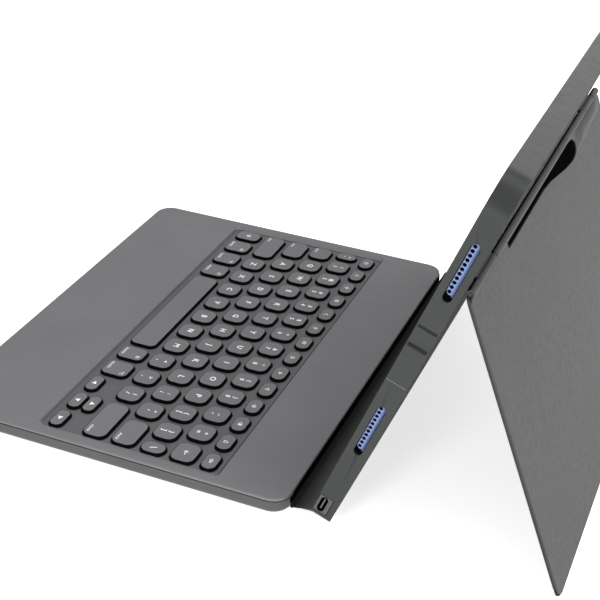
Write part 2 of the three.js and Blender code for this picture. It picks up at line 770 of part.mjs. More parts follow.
// Each bracket has a leaf inside the tray, an arm through the back panel and a knuckle.
function addHingeBrackets() {
  ['left', 'right'].forEach((side, index) => {
    const x = (index === 0 ? -1 : 1) * KNUCKLE_CENTRE;
    const half = KNUCKLE_WIDTH / 2;
    const leafFront = -LINER_BACK + 0.5;
    const leaf = box(x - half, x + half, leafFront, leafFront + 0.8, HINGE_HEIGHT - 16, HINGE_HEIGHT + 10);
    const arm = box(x - half, x + half, leafFront + 0.2, HINGE_OFFSET - 1, HINGE_HEIGHT - 1, HINGE_HEIGHT + 1);
    const knuckle = bar(circle(KNUCKLE_RADIUS, 12, HINGE_OFFSET, HINGE_HEIGHT), x - half, x + half);
    const bore = bar(circle(PIN_BORE, 10, HINGE_OFFSET, HINGE_HEIGHT), x - half - 1, x + half + 1);
    piece(tray, `hinge_bracket_${side}`, cut(join(leaf, arm, knuckle), bore), steel());
  });
}

// ---------------------------------------------------------------- spine
// A flexible strip that arches a little between its two beads.

const spineRearY = TRAY_BOTTOM_Y - SPINE_REAR_DEPTH * Math.cos(lean) + SPINE_REAR_HEIGHT * Math.sin(lean);
const spineRearZ = TRAY_BOTTOM_Z + SPINE_REAR_DEPTH * Math.sin(lean) + SPINE_REAR_HEIGHT * Math.cos(lean);

function addSpine() {
  const curve = new THREE.SplineCurve([
    new THREE.Vector2(SPINE_FRONT_Y, SPINE_FRONT_Z),
    new THREE.Vector2(SPINE_FRONT_Y + 3, SPINE_FRONT_Z + 0.8),
    new THREE.Vector2(SPINE_FRONT_Y + 6.6, spineRearZ - 0.3),
    new THREE.Vector2(spineRearY, spineRearZ),
  ]);
  const steps = 8;
  const side = (sign) => Array.from({ length: steps + 1 }, (_, step) => {
    const point = curve.getPoint(step / steps);
    const along = curve.getTangent(step / steps);
    const offset = (sign * SPINE_THICKNESS) / 2;
    return new THREE.Vector2(point.x - along.y * offset, point.y + along.x * offset);
  });
  const section = [...side(-1), ...side(1).reverse()];
  const half = SPINE_WIDTH / 2;
  const strip = join(
    bar(section, -half, half),
    bar(circle(SPINE_BEAD, 10, SPINE_FRONT_Y, SPINE_FRONT_Z), -half, half),
    bar(circle(SPINE_BEAD, 10, spineRearY, spineRearZ), -half, half),
  );
  piece(keyboard, 'spine_strip', strip, softFabric());
}

// ---------------------------------------------------------------- kickstand
// The kickstand group's origin is the hinge axis, with the panel hanging down in -z.
// Its outer face looks towards +y.

const hingeY = TRAY_BOTTOM_Y + HINGE_OFFSET * Math.cos(lean) + HINGE_HEIGHT * Math.sin(lean);
const hingeZ = TRAY_BOTTOM_Z + HINGE_HEIGHT * Math.cos(lean) - HINGE_OFFSET * Math.sin(lean);
const kickLength = (hingeZ + KICK_CORE_INNER * Math.sin(kickAngle)) / Math.cos(kickAngle);
const HALF_KICK = KICK_WIDTH / 2;

function knuckleNotches() {
  const half = KNUCKLE_WIDTH / 2 + 0.4;
  return [-1, 1].map((sign) => {
    const x = sign * KNUCKLE_CENTRE;
    return bar(circle(KNUCKLE_RADIUS + 0.6, 12), x - half, x + half);
  });
}

function pinBores() {
  const half = PIN_LENGTH / 2 + 0.3;
  return [-1, 1].map((sign) => {
    const x = sign * KNUCKLE_CENTRE;
    return bar(circle(PIN_BORE, 10), x - half, x + half);
  });
}

// Outline of the long opening under the hinge: a narrow slot that swells at one end.
function scoopOutline() {
  const top = -2.3;
  const slotBottom = -5.3;
  const shape = new THREE.Shape();
  shape.moveTo(70, slotBottom);
  shape.lineTo(70, top);
  shape.lineTo(-50, top);
  shape.bezierCurveTo(-60, top, -63.6, -6, -62.8, -9);
  shape.bezierCurveTo(-62, -12, -56, -13, -50, -12.6);
  shape.bezierCurveTo(-32, -11.6, -14, -5.8, 4, slotBottom);
  return shape.getPoints(4);
}

function addKickstand() {
  const top = -LAYER_GAP;
  const skinEdge = roundedOutline(
    -HALF_KICK,
    HALF_KICK,
    -kickLength + SKIN_FOOT_SETBACK,
    -1.3,
    [4.4, 4.4, 3.2, 3.2],
    3,
  );
  const sheet = slabWithHole(skinEdge, scoopOutline(), KICK_SKIN_INNER, KICK_SKIN_OUTER);
  const wrapSection = [
    ...arc(KICK_WRAP_OUTER, degrees(-75), degrees(150), 10),
    ...arc(KICK_WRAP_INNER, degrees(-75), degrees(150), 10).reverse(),
  ];
  const wrapHalf = HALF_KICK - 2.2;
  const wrap = bar(wrapSection, -wrapHalf, wrapHalf);
  piece(kickstand, 'kickstand_skin', cut(join(sheet, wrap), ...knuckleNotches()), skinGrey());
  const coreEdge = roundedOutline(
    -HALF_KICK + 0.6,
    HALF_KICK - 0.6,
    -kickLength + FOOT_STRIP + LAYER_GAP,
    top,
    [0.5, 0.5, 3, 3],
    3,
  );
  const core = uprightSlab(coreEdge, KICK_CORE_INNER, KICK_CORE_OUTER);
  const rod = bar(circle(KICK_ROD, 12), -wrapHalf, wrapHalf);
  const stiffener = cut(join(core, rod), ...knuckleNotches(), ...pinBores());
  piece(kickstand, 'kickstand_core', stiffener, blackPlastic());
  const stripEdge = roundedOutline(
    -HALF_KICK + 1,
    HALF_KICK - 1,
    -kickLength,
    -kickLength + FOOT_STRIP,
    [2.4, 2.4, 0.5, 0.5],
    2,
  );
  const strip = uprightSlab(stripEdge, KICK_CORE_INNER, KICK_CORE_OUTER);
  piece(kickstand, 'kickstand_foot_strip', strip, blackRubber());
  ['left', 'right'].forEach((side, index) => {
    const x = (index === 0 ? -1 : 1) * KNUCKLE_CENTRE;
    const pin = bar(circle(PIN_RADIUS, 10), x - PIN_LENGTH / 2, x + PIN_LENGTH / 2);
    piece(kickstand, `hinge_pin_${side}`, pin, steel());
  });
}

function slabWithHole(outline, hole, near, far) {
  const geometry = slab(outline, -far, -near, [hole]);
  return geometry.rotateX(Math.PI / 2);
}

// ---------------------------------------------------------------- assembly

addKeyboardTub();
addKeyboardDeck();
addKeyboardInsides();
addFeet();
addKeys();
addKeyWellPlate();
addSpine();
addTrayFrame();
addTrayPlates();
addSpeakerGrilles();
addChargePort();
addTrayButtons();
addHingeBrackets();
addKickstand();

tray.position.set(0, TRAY_BOTTOM_Y, TRAY_BOTTOM_Z);
tray.rotation.x = -lean;
kickstand.position.set(0, hingeY, hingeZ);
kickstand.rotation.x = kickAngle;

const skinLength = kickLength - SKIN_FOOT_SETBACK;
const footY = hingeY + skinLength * Math.sin(kickAngle) + KICK_SKIN_OUTER * Math.cos(kickAngle);
const middle = new THREE.Group();
middle.add(keyboard, tray, kickstand);
middle.position.y = -footY / 2;
object.add(middle);

export default object;
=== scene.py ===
import json
import math

import bmesh
import bpy
from mathutils import Matrix, Vector


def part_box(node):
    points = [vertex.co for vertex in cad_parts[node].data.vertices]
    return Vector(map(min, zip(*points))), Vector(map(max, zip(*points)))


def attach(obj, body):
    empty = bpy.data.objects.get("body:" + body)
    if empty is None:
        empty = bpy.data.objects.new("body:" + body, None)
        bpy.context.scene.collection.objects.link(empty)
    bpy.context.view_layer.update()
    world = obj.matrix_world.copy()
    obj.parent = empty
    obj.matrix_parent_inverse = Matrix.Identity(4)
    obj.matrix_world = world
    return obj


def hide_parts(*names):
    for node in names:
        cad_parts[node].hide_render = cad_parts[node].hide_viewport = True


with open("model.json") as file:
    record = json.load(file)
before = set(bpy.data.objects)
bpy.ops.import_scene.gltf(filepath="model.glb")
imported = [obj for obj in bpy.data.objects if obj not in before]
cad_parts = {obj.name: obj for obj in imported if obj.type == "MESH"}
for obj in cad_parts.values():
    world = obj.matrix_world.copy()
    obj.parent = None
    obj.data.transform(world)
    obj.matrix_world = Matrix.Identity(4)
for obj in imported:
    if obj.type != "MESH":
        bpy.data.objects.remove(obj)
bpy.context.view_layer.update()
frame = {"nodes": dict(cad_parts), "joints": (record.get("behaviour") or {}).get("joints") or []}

MM = 0.001
nodes = frame["nodes"]

# ---------------------------------------------------------------- shapes the frame has already settled

LEAN = math.radians(20.6)
KICK_ANGLE = math.radians(21.9)
HINGE_HEIGHT = 143.6
HINGE_OFFSET = 2.2
TRAY_HALF = 126.0
KEY_WIDTH = 13.4
KEY_PITCH = 17.2
KEY_FLANGE = 0.8
HALF_KEY_FLANGE = 0.45
HALF_KEY_LIMIT = 8.2
KEY_TOP = 9.0
SHADOW_RING_INNER = 0.08
SHADOW_RING_OUTER = 0.75
SHADOW_RING_LOW = 7.3
SHADOW_RING_HIGH = 7.42
KEY_CORNER = 4.3
FUNCTION_WIDTH = 12.9
FUNCTION_CORNER = 3.75
SPEAKER_CENTRES = (59.2, 151.0)
SPEAKER_DEPTH = -5.1
SPEAKER_LENGTH = 29.6
SPEAKER_HEIGHT = 3.5
SPEAKER_HOLES = 11
SPEAKER_HOLE_PITCH = 2.36
SPEAKER_HOLE_RADIUS = 0.92
SPEAKER_HOLE_SHIFT = 0.55
SPEAKER_BARE_END = 3.2
WELL_BACK = -5.36
CABLE_DIP_CENTRE = 114.5
DIP_SHADE_REACH = 5.3
DIP_SHADE_WIDTH = 1.6
SEAM_HEIGHT = 88.5
SPINE_BEAD = 0.8
SPINE_SAMPLES = 40
TUB_SHADE = 2.5
ROLL_REACH = 2.4
GAP_SHADE_START = 78
GAP_SHADE_END = 156
SEAM_FRONT = -10.4
SEAM_REAR = -0.6


def joint_place(name):
    """The point that a joint turns about, in metres."""
    return Vector(next(joint for joint in frame["joints"] if joint["name"] == name)["pos_m"])


hinge = joint_place("kickstand_swing")
kick_space = Matrix.Translation(hinge) @ Matrix.Rotation(KICK_ANGLE, 4, "X")
tray_space = (
    Matrix.Translation(hinge)
    @ Matrix.Rotation(-LEAN, 4, "X")
    @ Matrix.Translation((0, -HINGE_OFFSET * MM, -HINGE_HEIGHT * MM))
)

# ---------------------------------------------------------------- camera, lights and floor


CAMERA_PLACE = (0.56898, 0.20587, 0.39593)
CAMERA_AZIMUTH = math.radians(111.104)
CAMERA_ELEVATION = math.radians(30.254)
CAMERA_ROLL = math.radians(2.461)
CAMERA_LENS = 78.83


def add_camera():
    data = bpy.data.cameras.new("camera")
    data.lens = CAMERA_LENS
    data.clip_start = 0.05
    camera = bpy.data.objects.new("camera", data)
    bpy.context.collection.objects.link(camera)
    aim = Matrix.Rotation(CAMERA_AZIMUTH, 4, "Z") @ Matrix.Rotation(math.pi / 2 - CAMERA_ELEVATION, 4, "X")
    roll = Matrix.Rotation(CAMERA_ROLL, 4, "Z")
    camera.matrix_world = Matrix.Translation(CAMERA_PLACE) @ aim @ roll
    bpy.context.scene.camera = camera
    bpy.context.scene.view_settings.view_transform = "Standard"


def add_area_light(name, place, target, size, power):
    data = bpy.data.lights.new(name, "AREA")
    data.shape = "DISK"
    data.size = size
    data.energy = power
    light = bpy.data.objects.new(name, data)
    bpy.context.collection.objects.link(light)
    light.location = place
    light.rotation_euler = (Vector(target) - Vector(place)).to_track_quat("-Z", "Y").to_euler()


def add_lights():
    middle = (0, 0, 0.05)
    add_area_light("key_light", (-0.1, 0.85, 1.3), middle, 0.9, 11)
    add_area_light("rear_light", (0.4, 1.5, 1.2), middle, 0.9, 6)
    add_area_light("low_side_light", (0.42, 0.02, 0.16), (0.126, 0.055, 0.015), 0.09, 0.48)
    add_area_light("far_side_light", (-1.5, 0.25, 1.0), (0, 0.1, 0.15), 0.9, 4.5)
    world = bpy.data.worlds.new("studio")
    world.use_nodes = True
    world.node_tree.nodes["Background"].inputs["Color"].default_value = (1, 1, 1, 1)
    world.node_tree.nodes["Background"].inputs["Strength"].default_value = 0.6
    bpy.context.scene.world = world


def add_floor():
    reach = 6
    mesh = bpy.data.meshes.new("floor")
    corners = [(-reach, -reach, 0), (reach, -reach, 0), (reach, reach, 0), (-reach, reach, 0)]
    mesh.from_pydata(corners, [], [(0, 1, 2, 3)])
    floor = bpy.data.objects.new("floor", mesh)
    bpy.context.collection.objects.link(floor)
    material = bpy.data.materials.new("pale_floor")
    material.use_nodes = True
    shader = material.node_tree.nodes["Principled BSDF"]
    shader.inputs["Base Color"].default_value = (0.94, 0.94, 0.94, 1)
    shader.inputs["Roughness"].default_value = 0.9
    shader.inputs["Specular IOR Level"].default_value = 0.1
    shader.inputs["Emission Color"].default_value = (1, 1, 1, 1)
    shader.inputs["Emission Strength"].default_value = 0.7
    mesh.materials.append(material)


# ---------------------------------------------------------------- materials


class Surface:
    """A node material whose detail is laid out in the object's own millimetres."""

    def __init__(self, name, roughness, metallic=0.0, gloss=0.5):
        self.material = bpy.data.materials.new(name)
        self.material.use_nodes = True
        self.tree = self.material.node_tree
        self.shader = self.tree.nodes["Principled BSDF"]
        self.shader.inputs["Roughness"].default_value = roughness
        self.shader.inputs["Metallic"].default_value = metallic
        self.shader.inputs["Specular IOR Level"].default_value = gloss
        self.place = self.add("ShaderNodeTexCoord").outputs["Object"]

    def add(self, kind, **settings):
        node = self.tree.nodes.new(kind)
        for name, value in settings.items():
            setattr(node, name, value)
        return node

    def link(self, start, end):
        self.tree.links.new(start, end)

    def noise(self, size, detail=2.0, stretch=(1, 1, 1)):
        """Cloudy pattern with features about size millimetres across."""
        mapping = self.add("ShaderNodeMapping")
        mapping.inputs["Scale"].default_value = [share / (size * MM) for share in stretch]
        self.link(self.place, mapping.inputs["Vector"])
        node = self.add("ShaderNodeTexNoise")
        node.inputs["Scale"].default_value = 1.0
        node.inputs["Detail"].default_value = detail
        self.link(mapping.outputs["Vector"], node.inputs["Vector"])
        return node.outputs["Fac"]

    def span(self, value, low, high, start=0.3, end=0.7):
        """Carries a pattern from its start to end levels over to low to high."""
        node = self.add("ShaderNodeMapRange")
        for name, number in (("From Min", start), ("From Max", end), ("To Min", low), ("To Max", high)):
            node.inputs[name].default_value = number
        self.link(value, node.inputs["Value"])
        return node.outputs["Result"]

    def mix(self, share, first, second):
        node = self.add("ShaderNodeMix", data_type="RGBA")
        self.link(share, node.inputs[0])
        for socket, colour in ((node.inputs[6], first), (node.inputs[7], second)):
            if isinstance(colour, tuple):
                socket.default_value = (*colour, 1)
            else:
                self.link(colour, socket)
        return node.outputs[2]

    def paint(self, colour):
        self.link(colour, self.shader.inputs["Base Color"])

    def bump(self, height, depth, strength):
        node = self.add("ShaderNodeBump")
        node.inputs["Strength"].default_value = strength
        node.inputs["Distance"].default_value = depth * MM
        self.link(height, node.inputs["Height"])
        self.link(node.outputs["Normal"], self.shader.inputs["Normal"])


def brighter(colour, factor, lift=0.0):
    return tuple(min(1, channel * factor + lift) for channel in colour)


def shades(colour, spread):
    """The colour a little darker and a little lighter."""
    return brighter(colour, 1 - spread), brighter(colour, 1 + spread)


def grained(name, colour, roughness, grain, depth, spread=0.05, wear=0.0, metallic=0.0, gloss=0.5):
    """Moulded or coated plastic: fine grain, soft patches, faint scuffs and paler worn edges."""
    surface = Surface(name, roughness, metallic, gloss)
    dark, light = shades(colour, spread)
    fine = surface.noise(grain, 3)
    patches = surface.noise(38, 2)
    scuffs = surface.noise(2.4, 4, stretch=(1, 0.08, 1))
    tone = surface.mix(surface.span(patches, 0, 1), dark, light)
    speckled = surface.mix(surface.span(fine, 0, 0.16), tone, brighter(colour, 1.5))
    if wear:
        edge = surface.add("ShaderNodeNewGeometry").outputs["Pointiness"]
        worn = surface.span(edge, 0, wear, 0.52, 0.6)
        speckled = surface.mix(worn, speckled, brighter(colour, 2.2, 0.02))
    surface.paint(speckled)
    blend = surface.add("ShaderNodeMath", operation="ADD")
    surface.link(surface.span(fine, -0.05, 0.05), blend.inputs[0])
    surface.link(surface.span(scuffs, roughness - 0.05, roughness + 0.04), blend.inputs[1])
    surface.link(blend.outputs[0], surface.shader.inputs["Roughness"])
    surface.bump(fine, depth, 0.6)
    return surface.material


def woven(name, colour, thread, roughness, painted_shade_span=None):
    """Tight cloth: two sets of threads crossing. It may rise from black between two places along y, as
    painted shade.
    """
    surface = Surface(name, roughness, gloss=0.15)
    dark, light = shades(colour, 0.22)
    waves = []
    for direction in ("X", "Y"):
        wave = surface.add("ShaderNodeTexWave", bands_direction=direction)
        wave.inputs["Scale"].default_value = 1 / (thread * MM * 2 * math.pi) * 2
        wave.inputs["Distortion"].default_value = 0.6
        wave.inputs["Detail"].default_value = 1.0
        surface.link(surface.place, wave.inputs["Vector"])
        waves.append(wave.outputs["Fac"])
    weave = surface.add("ShaderNodeMath", operation="MULTIPLY")
    surface.link(waves[0], weave.inputs[0])
    surface.link(waves[1], weave.inputs[1])
    patches = surface.noise(14, 3)
    tone = surface.mix(surface.span(patches, 0, 1), dark, light)
    cloth = surface.mix(surface.span(weave.outputs[0], 0, 0.4, 0, 1), tone, brighter(colour, 1.7))
    # Painted shade: the cloth is black before the first place along y and reaches its own colour by the
    # second.
    if painted_shade_span:
        parts = surface.add("ShaderNodeSeparateXYZ")
        surface.link(surface.place, parts.inputs[0])
        depth = surface.span(parts.outputs["Y"], 0, 1, painted_shade_span[0] * MM, painted_shade_span[1] * MM)
        cloth = surface.mix(depth, brighter(colour, 0.06), cloth)
    surface.paint(cloth)
    surface.bump(weave.outputs[0], thread * 0.12, 0.7)
    return surface.material


def metal(name, colour, roughness, brushed=(1, 0.05, 1), size=0.5):
    """Metal with fine lines, or with an even grain where brushed is the same each way."""
    surface = Surface(name, roughness, 1.0)
    dark, light = shades(colour, 0.08)
    lines = surface.noise(size, 3, stretch=brushed)
    surface.paint(surface.mix(surface.span(lines, 0, 1), dark, light))
    sheen = surface.span(lines, roughness - 0.06, roughness + 0.08)
    surface.link(sheen, surface.shader.inputs["Roughness"])
    surface.bump(lines, 0.01, 0.3)
    return surface.material


FINISHES = {
    "deck": grained("deck_grey", (0.146, 0.148, 0.154), 0.55, 0.22, 0.012, 0.05),
    "well": grained("well_grey", (0.092, 0.094, 0.099), 0.62, 0.22, 0.012, 0.05),
    "casing": grained("casing_grey", (0.050, 0.053, 0.050), 0.48, 0.3, 0.012, 0.08, wear=0.06),
    "keycaps": grained("key_top_grey", (0.142, 0.144, 0.150), 0.6, 0.16, 0.010, 0.05),
    # Near-black painted shade for the key sides, the rings round the keys and the line behind the key
    # well.
    "key_side": grained("key_side_black", (0.003, 0.003, 0.0035), 0.7, 0.2, 0.008, 0.1, gloss=0.06),
    "legend": grained("legend_white", (0.95, 0.95, 0.96), 0.5, 0.1, 0.004, 0.03),
    "tray": grained("tray_grey", (0.020, 0.0222, 0.021), 0.4, 0.3, 0.012, 0.07, wear=0.3, gloss=0.18),
    "back_panel": grained("back_panel_black", (0.012, 0.012, 0.013), 0.7, 0.35, 0.03, 0.1, gloss=0.15),
    "panel": grained("kickstand_grey", (0.045, 0.045, 0.047), 0.6, 0.35, 0.03, 0.05, gloss=0.35),
    "core": grained("matte_black", (0.002, 0.002, 0.0022), 0.8, 0.3, 0.01, 0.1, gloss=0.0),
    "rubber": grained("dull_rubber", (0.018, 0.018, 0.018), 0.88, 0.4, 0.03, 0.12, gloss=0.2),
    "board": grained("solder_resist", (0.01, 0.06, 0.03), 0.4, 0.8, 0.01, 0.15),
    # Painted shade: the spine cloth is black up to 35.5 mm along y and reaches its own colour by 44 mm.
    "fabric": woven("spine_weave", (0.055, 0.056, 0.057), 0.45, 0.85, (35.5, 44.0)),
    "liner": woven("liner_nap", (0.030, 0.030, 0.031), 0.6, 0.95),
    "steel": metal("brushed_steel", (0.5, 0.51, 0.52), 0.32),
    "foil": metal("battery_foil", (0.55, 0.56, 0.58), 0.4, (1, 1, 1), 1.5),
    "grille": grained("pale_blue_mesh", (0.17, 0.23, 0.42), 0.5, 0.3, 0.006, 0.05, gloss=0.25),
    "kick_edge": grained("kickstand_edge_grey", (0.035, 0.033, 0.031), 0.6, 0.3, 0.01, 0.1, gloss=0.2),
    "contact": grained("contact_bar_grey", (0.09, 0.09, 0.09), 0.5, 0.2, 0.005, 0.1),
    "seam": grained("seam_highlight", (0.16, 0.165, 0.16), 0.5, 0.3, 0.006, 0.05),
    "deep_blue": grained("deep_blue_edge", (0.022, 0.050, 0.15), 0.5, 0.3, 0.006, 0.1),
}

# ---------------------------------------------------------------- making pieces


def new_piece(name, shape, body, material_names, replaced=(), sharp=40):
    """Turns a bmesh into a smooth-shaded piece that rides on a body."""
    mesh = bpy.data.meshes.new(name)
    bmesh.ops.recalc_face_normals(shape, faces=shape.faces)
    shape.to_mesh(mesh)
    shape.free()
    return finish_piece(name, mesh, body, material_names, replaced, sharp)


def finish_piece(name, mesh, body, material_names, replaced=(), sharp=40):
    """Turns a mesh, laid out at rest in metres, into a piece that rides on a body."""
    if "custom_normal" in mesh.attributes:
        mesh.attributes.remove(mesh.attributes["custom_normal"])
    for material_name in material_names:
        mesh.materials.append(FINISHES[material_name])
    mesh.polygons.foreach_set("use_smooth", [True] * len(mesh.polygons))
    mesh.set_sharp_from_angle(angle=math.radians(sharp))
    piece = bpy.data.objects.new(name, mesh)
    bpy.context.collection.objects.link(piece)
    weights = piece.modifiers.new("even_normals", "WEIGHTED_NORMAL")
    weights.keep_sharp = True
    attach(piece, body)
    if replaced:
        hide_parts(*replaced)
    return piece


def soften(node, name, body, material_name, width, segments=2, sharp=30):
    """A copy of a CAD node with its hard edges rounded."""
    shape = bmesh.new()
    shape.from_mesh(nodes[node].data)
    bmesh.ops.remove_doubles(shape, verts=shape.verts, dist=2e-6)
    bmesh.ops.dissolve_limit(
        shape, angle_limit=math.radians(0.8), verts=shape.verts, edges=shape.edges, delimit=set()
    )
    edges = [edge for edge in shape.edges if edge.calc_face_angle(0) > math.radians(sharp)]
    bmesh.ops.bevel(
        shape,
        geom=edges,
        offset=width * MM,
        offset_type="OFFSET",
        segments=segments,
        profile=0.5,
        affect="EDGES",
        clamp_overlap=True,
    )
    return new_piece(name, shape, body, [material_name], [node])


def rounded_outline(left, right, front, back, corner, steps=6):
    """Rectangle with round corners, anticlockwise."""
    corner = min(corner, (right - left) / 2 - 0.01, (back - front) / 2 - 0.01)
    centres = [
        (left + corner, front + corner),
        (right - corner, front + corner),
        (right - corner, back - corner),
        (left + corner, back - corner),
    ]
    points = []
    for index, (x, y) in enumerate(centres):
        for step in range(steps + 1):
            angle = math.pi * (1 + index / 2) + math.pi / 2 * step / steps
            points.append((x + corner * math.cos(angle), y + corner * math.sin(angle)))
    return points


def loft(shape, rings, closed_ends=True):
    """Skins rings of points, each in millimetres, and returns the faces made."""
    made = [[shape.verts.new(Vector(point) * MM) for point in ring] for ring in rings]
    faces = []
    for lower, upper in zip(made, made[1:]):
        for step in range(len(lower)):
            after = (step + 1) % len(lower)
            faces.append(shape.faces.new((lower[step], lower[after], upper[after], upper[step])))
    if closed_ends:
        faces.append(shape.faces.new(list(reversed(made[0]))))
        faces.append(shape.faces.new(made[-1]))
    return faces


def plate_mesh(name, outlines, thickness, bevel):
    """Flat plate in x and y with round edges. Outlines after the first are holes. Millimetres."""
    curve = bpy.data.curves.new(name, "CURVE")
    curve.dimensions = "2D"
    curve.fill_mode = "BOTH"
    curve.extrude = (thickness / 2 - bevel) * MM
    curve.bevel_depth = bevel * MM
    curve.bevel_resolution = 1
    curve.offset = -bevel * MM
    for outline in outlines:
        spline = curve.splines.new("POLY")
        spline.points.add(len(outline) - 1)
        for point, (x, y) in zip(spline.points, outline):
            point.co = (x * MM, y * MM, 0, 1)
        spline.use_cyclic_u = True
    holder = bpy.data.objects.new(name + "_curve", curve)
    bpy.context.collection.objects.link(holder)
    bpy.context.view_layer.update()
    mesh = bpy.data.meshes.new_from_object(holder.evaluated_get(bpy.context.evaluated_depsgraph_get()))
    bpy.data.objects.remove(holder)
    return mesh


def ring_of(radius, steps, x, y):
    angles = [2 * math.pi * step / steps for step in range(steps)]
    return [(x + radius * math.cos(angle), y + radius * math.sin(angle)) for angle in angles]


# ---------------------------------------------------------------- keys


def key_spans(node):
    """Left and right edge of each key of a CAD node, with its front and back, in millimetres."""
    low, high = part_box(node)
    depth = (high.y - low.y) / MM
    flange = HALF_KEY_FLANGE if depth < HALF_KEY_LIMIT else KEY_FLANGE
    left, right = low.x / MM + flange, high.x / MM - flange
    front, back = low.y / MM + flange, high.y / MM - flange
    return left, right, front, back


def row_keys(node, count, width, first=None):
    """Edges of the keys in a row, whose first key may be narrower."""
    left, right, front, back = key_spans(node)
    if first is None:
        pitch = (right - left - width) / (count - 1)
        edges = [(left + index * pitch, left + index * pitch + width) for index in range(count)]
    else:
        start = right - width - (count - 2) * KEY_PITCH
        edges = [(left, left + first)]
        places = [start + index * KEY_PITCH for index in range(count - 1)]
        edges += [(place, place + width) for place in places]
    return [(near, far, front, back) for near, far in edges]


def key_ring(edges, spread, corner, height):
    """A level outline of one key, spread outwards or, where negative, inwards."""
    left, right, front, back = edges
    outline = rounded_outline(left - spread, right + spread, front - spread, back + spread, corner)
    return [(x, y, height) for x, y in outline]


# Inset and height of each level of a cap, from its foot up. The side is painted black as shade and the rim
# is grey.
CAP_SIDE = [(0.0, 6.05), (0.0, 8.6), (0.08, 8.82), (0.36, 8.95)]
CAP_RIM = [(0.55, 8.985), (0.8, KEY_TOP)]


def add_cap(shape, edges, corner):
    """One key cap: upright sides painted black as shade, a soft rim and a slightly dished grey top."""
    least = min(edges[1] - edges[0], edges[3] - edges[2])
    dish = [(least * 0.2, KEY_TOP - 0.05), (least * 0.36, KEY_TOP - 0.09)]
    rings = []
    for inset, height in CAP_SIDE + CAP_RIM + dish:
        rings.append(key_ring(edges, -inset, max(corner - inset, 0.3), height))
    faces = loft(shape, rings)
    # Painted shade: the sides and the foot take the near-black second material.
    side_faces = (len(CAP_SIDE) - 1) * len(rings[0])
    for index, face in enumerate(faces):
        face.material_index = 1 if index < side_faces or index == len(faces) - 2 else 0


KEY_ROWS = {
    "lower_letter_keys": ("ZXCVBNM,./", KEY_WIDTH, None),
    "middle_letter_keys": ("ASDFGHJKL;'", KEY_WIDTH, None),
    "upper_letter_keys": ("QWERTYUIOP[]", KEY_WIDTH, None),
    "number_row_keys": ("`1234567890-=", KEY_WIDTH, 7.9),
    "function_row_keys": ("oxshrmbcpuvwdt", FUNCTION_WIDTH, None),
}

# Marks of the single keys, drawn as strokes on a square from -1 to 1.
ARROW_HEADS = {
    "arrow_left_key": 180,
    "arrow_right_key": 0,
    "arrow_up_key": 90,
    "arrow_down_key": 270,
}
BOTTOM_ROW_KEYS = (
    "control_key",
    "left_option_key",
    "left_command_key",
    "right_command_key",
    "right_option_key",
)
LEFT_WORD_KEYS = ("tab_key", "caps_lock_key", "left_shift_key")
RIGHT_WORD_KEYS = ("return_key", "right_shift_key")
STROKES = {
    "backspace_key": [[(1, 0), (-0.9, 0)], [(-0.3, 0.6), (-0.9, 0), (-0.3, -0.6)]],
    "backslash_key": [[(-0.4, 0.9), (0.4, -0.9)]],
    "control_key": [[(-0.8, -0.3), (0, 0.6), (0.8, -0.3)], [(-1, -1), (1, -1)]],
    "left_option_key": [[(-1, 0.6), (-0.3, 0.6), (0.4, -0.6), (1, -0.6)], [(0.3, 0.6), (1, 0.6)]],
    "right_option_key": [[(-1, 0.6), (-0.3, 0.6), (0.4, -0.6), (1, -0.6)], [(0.3, 0.6), (1, 0.6)]],
    "left_command_key": [[(-0.7, -0.7), (0.7, -0.7), (0.7, 0.7), (-0.7, 0.7), (-0.7, -0.7)]],
    "right_command_key": [[(-0.7, -0.7), (0.7, -0.7), (0.7, 0.7), (-0.7, 0.7), (-0.7, -0.7)]],
    "language_key": [[(-1, 0), (1, 0)], [(0, 1), (-0.6, 0), (0, -1), (0.6, 0), (0, 1)]],
}
